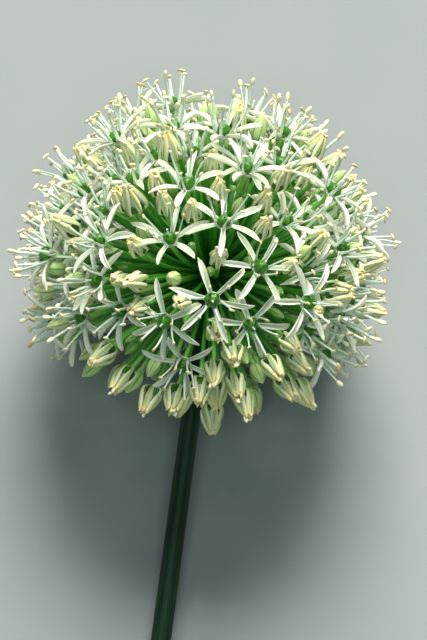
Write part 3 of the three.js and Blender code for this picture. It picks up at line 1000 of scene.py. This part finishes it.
def lantern_stamens(lanterns):
    """Stamens in the gaps between a lantern's tepals, half a sixth of a turn on from them."""
    florets, frames = lantern_rows(lanterns, np.arange(6) + 0.5)
    length = LANTERN_LENGTH * vary(florets, SHUT_STAMEN_REACH) * sizes(florets)
    lean = vary(florets, SHUT_STAMEN_LEAN)
    bow = vary(florets, SHUT_STAMEN_BOW)
    path, sideways = stamen_paths(frames, LANTERN_FOOT, 0, lean, length, bow)
    own = vary(florets, SHUT_ANTHER_AGES)
    threads = filaments(path, sideways, own, 1)
    return threads, anthers(path, own, SHUT_ANTHER_LENGTH, SHUT_ANTHER_SIZE)


# ------------------------------ ovaries, cups, styles and buds

# Outlines of the round organs, as rows of heights and of widths. A cup's are millimetres, and a
# bud's are shares of its length and radius. An ovary's heights are shares, its widths millimetres.
ROUND_SIDES = 36
OVARY_OUTLINE = (
    [0, 0.08, 0.22, 0.4, 0.58, 0.74, 0.87, 0.95, 0.99, 1, 0.96],
    [1.2, 1.65, 2.0, 2.12, 2.08, 1.85, 1.45, 1.05, 0.7, 0.42, 0.12],
)
CUP_OUTLINE = (
    [-1.75, -1.5, -1.1, -0.6, -0.1, 0.1, 0.06, -0.2, -0.3],
    [0.6, 0.95, 1.5, 1.95, 2.3, 2.35, 2.1, 1.4, 0.2],
)
BUD_OUTLINE = (
    [0, 0.04, 0.12, 0.24, 0.38, 0.52, 0.66, 0.78, 0.88, 0.94, 0.98, 1],
    [0.32, 0.5, 0.74, 0.93, 1, 0.98, 0.86, 0.66, 0.42, 0.25, 0.15, 0.05],
)

# How tall an ovary is, how far it is sunk, how ovaries and buds differ in height and girth as a
# share, and how they and the cups are lobed.
OVARY_TALL = 3.3
OVARY_SUNK = 0.15
OVARY_REACH = (0.92, 1.05)
OVARY_GIRTH = (0.92, 1.03)
LOBES_MEAN = 0.97
THREE_LOBES = 0.09
SIX_LOBES = 0.05
CUP_LOBES = 0.07
BUD_REACH = (0.95, 1.08)
BUD_GIRTH = (0.86, 1.04)
BUD_RIBS = 0.07
BUD_RIBS_SUNK = 0.04
RIB_ROUNDNESS = 0.6

# The style on each ovary, with its small swollen stigma.
STYLE_LENGTH = (1.4, 3.2)
STYLE_SUNK = 0.4
STYLE_RADIUS = (0.3, 0.2)
STYLE_SIDES = 7
STIGMA_STARTS = 0.8
STIGMA_SWELLS = 0.14


def ovaries(florets):
    """Three plump double lobes, with a dimple on top for the style."""
    own = vary(florets)
    heights, widths = np.array(OVARY_OUTLINE)
    up = OVARY_TALL * heights * vary(florets, OVARY_REACH) * sizes(florets) - OVARY_SUNK
    out = widths * vary(florets, OVARY_GIRTH) * sizes(florets)
    angle = round_angles(ROUND_SIDES)
    lobes = LOBES_MEAN + THREE_LOBES * np.cos(3 * angle) + SIX_LOBES * np.cos(6 * angle)
    return upright_loft(florets, own, up, out, lobes)


def cups(open_florets):
    """The shallow cup that the tepals' feet make under each ovary."""
    own = vary(open_florets)
    heights, widths = np.array(CUP_OUTLINE)
    lobes = 1 + CUP_LOBES * np.cos(6 * round_angles(ROUND_SIDES))
    return upright_loft(open_florets, own, heights, widths, lobes)


def styles(open_florets):
    own = vary(open_florets)
    t = np.linspace(0, 1, STYLE_SIDES)
    up = OVARY_TALL - STYLE_SUNK + vary(open_florets, STYLE_LENGTH) * t
    out = between(STYLE_RADIUS, t) + STIGMA_SWELLS * after(STIGMA_STARTS, t)
    return upright_loft(open_florets, own, up, out, np.ones(STYLE_SIDES))


def buds(closed, youth):
    """Ribbed drops that end in a small beak. The younger ones are greener."""
    own = vary(closed, youth)
    heights, widths = np.array(BUD_OUTLINE)
    up = BUD_LENGTH * heights * vary(closed, BUD_REACH) * sizes(closed)
    out = BUD_RADIUS * widths * vary(closed, BUD_GIRTH) * sizes(closed)
    ribs = BUD_RIBS * np.abs(np.cos(3 * round_angles(ROUND_SIDES))) ** RIB_ROUNDNESS - BUD_RIBS_SUNK
    lobes = 1 + ribs * np.sin(math.pi * heights)[:, None]
    return upright_loft(closed, own, up, out, lobes)


# ------------------------------ stalks, knob and stem

# How far below its floret's base a stalk ends, or above it where that is negative. It bows toward
# an elbow that far below its end, so that it meets the floret the way that the floret faces.
STALK_STATIONS = np.linspace(0, 1, 16)
STALK_SIDES = 8
STALK_ELBOW = 14
STALK_BOW = (-0.9, 0.9)
STALK_FLARE = 0.5
FLARE_STARTS = 0.95
STALK_ENDS_BELOW = {"open": HUB_DEPTH - 0.6, "half": -0.2, "bud": -0.2}


def stalks(florets):
    """A gently bowed stalk to each floret, flared where the floret sits."""
    own = vary(florets)
    base, level, outlook, _ = petal_frames(florets, [0] * len(florets))
    outward = np.array([floret.direction for floret in florets])
    rising = np.cross(outward, level)
    start = RECEPTACLE + outward * STALK_START
    end = base - outlook * column([STALK_ENDS_BELOW[floret.kind] for floret in florets])
    elbow = end - outlook * STALK_ELBOW
    t = STALK_STATIONS
    bow = np.sin(math.pi * t)
    path = moved(
        start,
        (elbow - start, 2 * t * (1 - t)),
        (end - start, t**2),
        (level, vary(florets, STALK_BOW) * bow),
        (rising, vary(florets, STALK_BOW) * bow),
    )
    radii = between((STALK_ROOT_RADIUS, STALK_TOP_RADIUS), t)
    radii = radii + STALK_FLARE * after(FLARE_STARTS, t) ** 2
    rings = sweep(path, level, round_section(radii, STALK_SIDES))
    return rings, form_of(rings, own)


# The knob's stations from one end to the other, and its bumps: how high they are as a share, how
# many stand in a ring, and how far they turn from ring to ring.
KNOB_STATIONS = np.linspace(0.02, 0.98, 15)
KNOB_SIDES = 28
KNOB_BUMPS = 0.04
BUMPS_ROUND = 9
BUMPS_TURN = 5


def knob():
    """The swollen top of the stem, dimpled between the stalks."""
    swell = np.sin(math.pi * KNOB_STATIONS)[:, None]
    along = -RECEPTACLE_RADIUS * np.cos(math.pi * KNOB_STATIONS)[:, None]
    angle = round_angles(KNOB_SIDES)
    bumps = 1 + KNOB_BUMPS * np.cos(BUMPS_ROUND * angle + BUMPS_TURN * along) * swell
    out = (RECEPTACLE_RADIUS * swell * bumps)[None]
    rings = (
        RECEPTACLE
        + AXIS * along[None, ..., None]
        + SIDE * (out * np.cos(angle))[..., None]
        - VIEWER * (out * np.sin(angle))[..., None]
    )
    return rings, form_of(rings, np.zeros((1, 1)))


# The stem's stations from the cut end up, each a place along it and a share of the radius there:
# those of the cut face and its bevel, and those of the side.
CUT_BEVEL = [(1, 0.02), (0.999, 0.86), (0.9985, 0.95), (0.997, 1.0)]
STEM_STATIONS = CUT_BEVEL + [(place, 1) for place in np.linspace(0.98, 0, 60)]
STEM_SIDES = 48
STEM_RIDGES = 14
RIDGE_HEIGHT = 0.012


def stem():
    """The bowed stem with fine ridges, and a clean cut end."""
    place, bevel = np.array(STEM_STATIONS).T
    straight = (RECEPTACLE - AXIS * (STEM_LENGTH * place)[:, None])[None]
    bow = VIEWER * (STEM_BOW * np.sin(math.pi * place))[:, None]
    radii = between((STEM_RADIUS_TOP, STEM_RADIUS_CUT), place) * bevel
    ridges = 1 + RIDGE_HEIGHT * np.cos(STEM_RIDGES * round_angles(STEM_SIDES))
    section = round_section(radii, STEM_SIDES) * ridges[:, None]
    rings = sweep(straight, SIDE[None], section) - bow[None, :, None]
    return rings, form_of(rings, np.zeros((1, 1)), outer=bevel[:, None], along=1 - place)


# ------------------------------ materials

# How far light of each colour passes under a surface, as shares of a depth in millimetres, how
# strong bumps are, and how far an organ's own draw moves its noise.
GLOW_RADIUS = (1.0, 1.0, 0.6)
GLOW_DEPTH = 0.9
BUMP_STRENGTH = 0.6
NOISE_SHIFT = 61.0


class Nodes:
    """A material's node tree, with short ways to add what these materials use."""

    def __init__(self, name):
        self.material = bpy.data.materials.new(name)
        self.material.use_nodes = True
        self.tree = self.material.node_tree
        self.shader = self.tree.nodes["Principled BSDF"]
        form = self.add("ShaderNodeAttribute", attribute_name="form")
        split = self.add("ShaderNodeSeparateColor")
        self.link(form.outputs["Color"], split.inputs["Color"])
        self.along, self.across, self.own = split.outputs
        self.outer = form.outputs["Alpha"]

    def add(self, kind, **settings):
        node = self.tree.nodes.new(kind)
        for name, value in settings.items():
            setattr(node, name, value)
        return node

    def link(self, source, target):
        self.tree.links.new(source, target)

    def feed(self, socket, value):
        if isinstance(value, bpy.types.NodeSocket):
            self.link(value, socket)
        else:
            socket.default_value = value

    def maths(self, operation, first, second=0.0, third=0.0):
        node = self.add("ShaderNodeMath", operation=operation)
        for socket, value in zip(node.inputs, (first, second, third)):
            self.feed(socket, value)
        return node.outputs[0]

    def wave(self, waves):
        """The height of waves round the organ, 0 where one passes into the next."""
        turn = self.maths("MULTIPLY", self.across, waves * math.pi)
        return self.maths("ABSOLUTE", self.maths("SINE", turn))

    def ramp(self, value, low, high, start=0.0, end=1.0):
        """The value's place between low and high, as a smooth step from start to end."""
        node = self.add("ShaderNodeMapRange", interpolation_type="SMOOTHSTEP")
        for socket, given in zip(node.inputs, (value, low, high, start, end)):
            self.feed(socket, given)
        return node.outputs[0]

    def mix(self, share, first, second):
        node = self.add("ShaderNodeMix", data_type="RGBA")
        self.feed(node.inputs[0], share)
        self.feed(node.inputs[6], first)
        self.feed(node.inputs[7], second)
        return node.outputs[2]

    def tint_along(self, colour, tint, low, high, start, end):
        """The colour with a tint over it, from start to end between two places along the organ."""
        return self.mix(self.ramp(self.along, low, high, start, end), colour, tint)

    def faded(self, strength, low, high, left):
        """A strength that fades between two places along the organ to what is left of it."""
        return self.maths("MULTIPLY", strength, self.ramp(self.along, low, high, 1.0, left))

    def noise(self, place, scale, detail):
        node = self.add("ShaderNodeTexNoise")
        self.link(place, node.inputs["Vector"])
        node.inputs["Scale"].default_value = scale
        node.inputs["Detail"].default_value = detail
        return node.outputs["Fac"]

    def grain(self, across_scale, along_scale, detail=2.0):
        """Noise in the organ's own coordinates, so streaks run along it."""
        place = self.add("ShaderNodeCombineXYZ")
        scaled = ((self.across, across_scale), (self.along, along_scale), (self.own, NOISE_SHIFT))
        for socket, (value, scale) in zip(place.inputs, scaled):
            self.link(self.maths("MULTIPLY", value, scale), socket)
        return self.noise(place.outputs[0], 1.0, detail)

    def speckle(self, scale, detail=3.0):
        """Noise in the object's own space, with scale as features in a millimetre."""
        return self.noise(self.add("ShaderNodeTexCoord").outputs["Object"], scale / MM, detail)

    def bump(self, height, distance):
        node = self.add("ShaderNodeBump")
        node.inputs["Strength"].default_value = BUMP_STRENGTH
        node.inputs["Distance"].default_value = distance * MM
        self.link(height, node.inputs["Height"])
        self.link(node.outputs[0], self.shader.inputs["Normal"])

    def rough(self, noise, low, high):
        """A roughness between low and high, by a noise."""
        return self.ramp(noise, 0.2, 0.8, low, high)

    def finish(self, colour, roughness, glow=0.0, gloss=0.5):
        """Sets the shader. glow is how much light passes under the surface."""
        self.feed(self.shader.inputs["Base Color"], colour)
        self.feed(self.shader.inputs["Roughness"], roughness)
        self.shader.inputs["Specular IOR Level"].default_value = gloss
        if glow:
            self.shader.inputs["Subsurface Weight"].default_value = glow
            self.shader.inputs["Subsurface Radius"].default_value = GLOW_RADIUS
            self.shader.inputs["Subsurface Scale"].default_value = GLOW_DEPTH * MM
        return self.material


def rgb(red, green, blue):
    """A colour from its 0 to 255 values on the screen."""
    return tuple((channel / 255) ** 2.2 for channel in (red, green, blue)) + (1.0,)


def tepal_material(name, edge, channel, vein, tip, tip_starts):
    """Pale rims, a greener channel between them, a green vein in its middle and a pale tip."""
    nodes = Nodes(name)
    off_middle = nodes.maths("ABSOLUTE", nodes.maths("MULTIPLY_ADD", nodes.across, 2.0, -1.0))
    streaks = nodes.grain(26.0, 2.2)
    wavy = nodes.maths("MULTIPLY_ADD", streaks, 0.4, off_middle)
    inside = nodes.faded(nodes.ramp(wavy, 0.5, 0.9, 1.0, 0.0), 0.6, 1.0, 0.35)
    veined = nodes.faded(nodes.ramp(wavy, 0.15, 0.38, 0.8, 0.0), 0.4, 1.0, 0.2)
    colour = nodes.mix(inside, edge, channel)
    colour = nodes.mix(veined, colour, vein)
    colour = nodes.tint_along(colour, channel, 0.06, 0.28, 0.5, 0.0)
    colour = nodes.tint_along(colour, tip, tip_starts, 1.0, 0.0, 0.85)
    nodes.bump(streaks, 0.05)
    return nodes.finish(colour, nodes.rough(streaks, 0.38, 0.55), glow=0.3, gloss=0.45)


def open_tepal_material():
    return tepal_material(
        "tepal_white",
        edge=rgb(255, 252, 234),
        channel=rgb(204, 222, 196),
        vein=rgb(136, 182, 138),
        tip=rgb(246, 245, 212),
        tip_starts=0.86,
    )


def lantern_tepal_material():
    return tepal_material(
        "lantern_cream",
        edge=rgb(253, 248, 210),
        channel=rgb(190, 210, 138),
        vein=rgb(62, 128, 54),
        tip=rgb(253, 228, 140),
        tip_starts=0.6,
    )


def cup_material():
    nodes = Nodes("cup_pale_green")
    streaks = nodes.grain(20.0, 1.0)
    colour = nodes.mix(nodes.ramp(streaks, 0.3, 0.7), rgb(176, 200, 172), rgb(208, 220, 200))
    colour = nodes.tint_along(colour, rgb(110, 158, 78), 0.0, 0.4, 0.8, 0.0)
    nodes.bump(streaks, 0.05)
    return nodes.finish(colour, nodes.rough(streaks, 0.35, 0.5), glow=0.3)


def filament_material():
    nodes = Nodes("filament_white")
    streaks = nodes.grain(8.0, 3.0)
    pale = nodes.mix(streaks, rgb(240, 245, 234), rgb(188, 216, 200))
    colour = nodes.tint_along(pale, rgb(140, 188, 152), 0.0, 0.3, 0.5, 0.0)
    return nodes.finish(colour, nodes.rough(streaks, 0.4, 0.6), glow=0.2)


def anther_material():
    nodes = Nodes("anther_pollen")
    powder = nodes.speckle(3.0)
    aged = nodes.mix(nodes.ramp(nodes.own, 0.35, 0.95), rgb(250, 243, 206), rgb(212, 190, 140))
    colour = nodes.mix(nodes.ramp(powder, 0.45, 0.75, 0.0, 0.45), aged, rgb(170, 142, 94))
    nodes.bump(powder, 0.12)
    return nodes.finish(colour, nodes.ramp(powder, 0.3, 0.7, 0.6, 0.85), glow=0.1, gloss=0.3)


def ovary_material():
    nodes = Nodes("ovary_green")
    mottled = nodes.speckle(1.2)
    deep = nodes.mix(nodes.ramp(mottled, 0.3, 0.7), rgb(38, 94, 16), rgb(74, 136, 30))
    # Painted shade: darker green down the three furrows between the ovary's lobes.
    furrow_shade = nodes.ramp(nodes.wave(3), 0.0, 0.3, 0.6, 0.0)
    deep = nodes.mix(furrow_shade, deep, rgb(14, 56, 14))
    colour = nodes.tint_along(deep, rgb(124, 180, 88), 0.75, 1.0, 0.0, 0.5)
    nodes.bump(nodes.speckle(5.0), 0.03)
    return nodes.finish(colour, nodes.rough(mottled, 0.28, 0.44), gloss=0.45)


def bud_material():
    nodes = Nodes("bud_cream")
    streaks = nodes.grain(40.0, 2.0)
    rib = nodes.maths("MULTIPLY_ADD", streaks, 0.4, nodes.wave(6))
    green = nodes.faded(nodes.ramp(rib, 0.25, 0.75, 0.85, 0.0), 0.5, 0.95, 0.1)
    cream = nodes.mix(nodes.own, rgb(230, 238, 178), rgb(126, 186, 84))
    colour = nodes.mix(green, cream, rgb(66, 142, 56))
    colour = nodes.tint_along(colour, rgb(78, 150, 60), 0.0, 0.35, 0.7, 0.0)
    colour = nodes.tint_along(colour, rgb(248, 242, 176), 0.8, 0.97, 0.0, 0.85)
    nodes.bump(streaks, 0.08)
    return nodes.finish(colour, nodes.rough(streaks, 0.35, 0.5), glow=0.2)


def stalk_material():
    nodes = Nodes("stalk_green")
    streaks = nodes.grain(12.0, 5.0, 3.0)
    fresh = nodes.mix(nodes.own, rgb(86, 176, 56), rgb(44, 138, 38))
    colour = nodes.mix(nodes.ramp(streaks, 0.35, 0.7, 0.0, 0.5), fresh, rgb(122, 196, 78))
    # Painted shade: the stalks, and the knob's lower end, turn dark green toward the knob, deep
    # inside the head where shade falls.
    colour = nodes.tint_along(colour, rgb(12, 92, 26), 0.1, 0.7, 0.8, 0.0)
    # Painted light: the stalks turn paler green toward their florets, near the head's lit outside.
    colour = nodes.tint_along(colour, rgb(156, 206, 116), 0.7, 1.0, 0.0, 0.6)
    nodes.bump(streaks, 0.06)
    return nodes.finish(colour, nodes.rough(streaks, 0.32, 0.5), glow=0.1)


def stem_material():
    nodes = Nodes("stem_green")
    streaks = nodes.grain(50.0, 7.0, 4.0)
    # Painted shade: the skin is a near-black green over the stem's own green, for the shade that the
    # stem lies in.
    shaded_skin = nodes.mix(nodes.ramp(streaks, 0.3, 0.7), rgb(10, 32, 22), rgb(28, 62, 40))
    shaded_skin = nodes.tint_along(shaded_skin, rgb(58, 110, 50), 0.75, 0.97, 0.0, 0.6)
    pith = nodes.mix(nodes.ramp(nodes.speckle(1.6), 0.4, 0.6), rgb(186, 204, 150), rgb(140, 172, 110))
    colour = nodes.mix(nodes.ramp(nodes.outer, 0.86, 0.99), pith, shaded_skin)
    nodes.bump(streaks, 0.08)
    return nodes.finish(colour, nodes.rough(streaks, 0.5, 0.7), glow=0.05, gloss=0.3)


def floor_material():
    nodes = Nodes("pale_floor")
    colour = nodes.mix(nodes.speckle(0.02), rgb(145, 150, 153), rgb(152, 156, 158))
    return nodes.finish(colour, 0.85, gloss=0.2)


# ------------------------------ camera, floor and light

# The camera's sensor in millimetres, and the nearest and farthest that it sees in metres.
SENSOR_WIDTH = 36
CLIP_START = 0.01
CLIP_END = 20

FLOOR_WIDTH = 8000

# Each light's way from the knob, distance, width, power and colour.
KEY_LIGHT = ((-0.06, 0.92, 1.1), 5000, 2600, 500, (1.0, 0.98, 0.88))
FRONT_LIGHT = (VIEWER, 1600, 500, 7, (0.8, 1.0, 0.86))

# The air's dim colour lights the flower, and the camera sees a pale wall beyond the floor.
STUDIO_AIR = (0.024, 0.048, 0.066, 1)
STUDIO_WALL = (0.4, 0.45, 0.42, 1)


def look_along(eye, target, up):
    """A matrix for something that looks from eye to target, with its top toward up."""
    back = unit(eye - target)
    right = unit(np.cross(up, back))
    rotation = np.column_stack([right, np.cross(back, right), back])
    matrix = Matrix(rotation.tolist()).to_4x4()
    matrix.translation = (eye * MM).tolist()
    return matrix


def make_camera():
    """The photo's camera: it looks down on the lying flower, square to the stem's line."""
    middle = (PHOTO_SIZE[0] / 2 - PHOTO_CENTRE[0], PHOTO_CENTRE[1] - PHOTO_SIZE[1] / 2)
    target = RECEPTACLE + (PICTURE_RIGHT * middle[0] + PICTURE_UP * middle[1]) * MM_PER_PIXEL
    data = bpy.data.cameras.new("photo_camera")
    data.sensor_width = SENSOR_WIDTH
    data.lens = SENSOR_WIDTH * VIEW_DISTANCE / (max(PHOTO_SIZE) * MM_PER_PIXEL)
    data.clip_start = CLIP_START
    data.clip_end = CLIP_END
    camera = add_object("photo_camera", data)
    camera.matrix_world = look_along(RECEPTACLE + VIEWER * VIEW_DISTANCE, target, PICTURE_UP)
    bpy.context.scene.camera = camera


def make_light(name, towards, distance, size, power, colour):
    """A soft square light, placed from the knob and aimed at it."""
    data = bpy.data.lights.new(name, "AREA")
    data.size = size * MM
    data.energy = power
    data.color = colour
    eye = RECEPTACLE + unit(np.array(towards, float)) * distance
    light = add_object(name, data)
    light.matrix_world = look_along(eye, RECEPTACLE, np.array([0.0, 0.0, 1.0]))


def make_studio():
    """A wide soft light over the head's top, a weak one from the front, and dim cool air."""
    make_light("key_light", *KEY_LIGHT)
    make_light("front_light", *FRONT_LIGHT)
    world = bpy.data.worlds.new("studio_air")
    world.use_nodes = True
    tree = world.node_tree
    rays = tree.nodes.new("ShaderNodeLightPath")
    mix = tree.nodes.new("ShaderNodeMix")
    mix.data_type = "RGBA"
    tree.links.new(rays.outputs["Is Camera Ray"], mix.inputs[0])
    mix.inputs[6].default_value = STUDIO_AIR
    mix.inputs[7].default_value = STUDIO_WALL
    tree.links.new(mix.outputs[2], tree.nodes["Background"].inputs["Color"])
    tree.nodes["Background"].inputs["Strength"].default_value = 1
    bpy.context.scene.world = world


def show_plain_colours():
    """Colours as they are mixed, without a film's curve."""
    bpy.context.scene.view_settings.view_transform = "Standard"


def make_floor():
    """A wide pale sheet that the flower lies on."""
    half = FLOOR_WIDTH / 2 * MM
    corners = [(-half, -half, 0), (half, -half, 0), (half, half, 0), (-half, half, 0)]
    mesh = bpy.data.meshes.new("floor")
    mesh.from_pydata(corners, [], [(0, 1, 2, 3)])
    mesh.materials.append(floor_material())
    add_object("floor", mesh)


# ------------------------------ the scene


def grow_flower(nodes):
    """Every piece of the flower. growth is the node that all but the open florets belong to."""
    florets = lay_out_florets()
    florets += fill_gaps(florets)
    turn_up(florets)
    young = young_buds()
    opened, shut, closed = (
        [floret for floret in florets if floret.kind == kind] for kind in ("open", "half", "bud")
    )
    growth = "stem_stalks_and_buds"
    open_nodes = sorted(name for name in nodes if name.startswith("open_floret"))

    white, cream = open_tepal_material(), lantern_tepal_material()
    thread, pollen = filament_material(), anther_material()
    open_filaments, open_anthers = open_stamens(opened)
    shut_filaments, shut_anthers = lantern_stamens(shut)

    make_piece("stem", [stem()], stem_material(), "stalk_green", growth)
    green = stalk_material()
    all_stalks = stalks(florets + young)
    make_piece("stalks_and_knob", [all_stalks, knob()], green, "stalk_green", growth)
    for whorl, first in (("outer", 0), ("inner", 1)):
        lantern_whorl = [lantern_tepals(shut, first)]
        make_piece(f"lantern_{whorl}_tepals", lantern_whorl, cream, "bud_cream", growth)
        open_whorl = [open_tepals(opened, first)]
        make_piece(f"open_{whorl}_tepals", open_whorl, white, "petal_white", *open_nodes)
    make_piece("lantern_filaments", [shut_filaments], thread, "petal_white", growth)
    make_piece("lantern_anthers", [shut_anthers], pollen, "anther_tan", growth)
    all_buds = [buds(closed, (0, 0.6)), buds(young, (0.6, 1))]
    make_piece("buds", all_buds, bud_material(), "bud_cream", growth)
    make_piece("open_filaments", [open_filaments], thread, "petal_white", *open_nodes)
    make_piece("open_anthers", [open_anthers], pollen, "anther_tan", *open_nodes)
    make_piece("floret_cups", [cups(opened)], cup_material(), "petal_white", *open_nodes)
    hearts = ovary_material()
    make_piece("ovaries", [ovaries(opened)], hearts, "ovary_green", *open_nodes)
    make_piece("lantern_ovaries", [ovaries(shut)], hearts, "ovary_green", growth)
    make_piece("styles", [styles(opened)], thread, "petal_white", *open_nodes)


def corners(box):
    return [list(corner) for corner in box]


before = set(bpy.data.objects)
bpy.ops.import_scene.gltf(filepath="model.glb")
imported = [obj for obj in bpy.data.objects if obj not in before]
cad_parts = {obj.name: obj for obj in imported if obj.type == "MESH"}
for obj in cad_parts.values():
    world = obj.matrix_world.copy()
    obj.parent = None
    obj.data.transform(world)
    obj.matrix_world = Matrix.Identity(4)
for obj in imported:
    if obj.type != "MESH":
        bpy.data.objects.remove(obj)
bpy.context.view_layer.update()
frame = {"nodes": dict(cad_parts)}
make_camera()
make_studio()
show_plain_colours()
make_floor()
grow_flower(frame["nodes"])
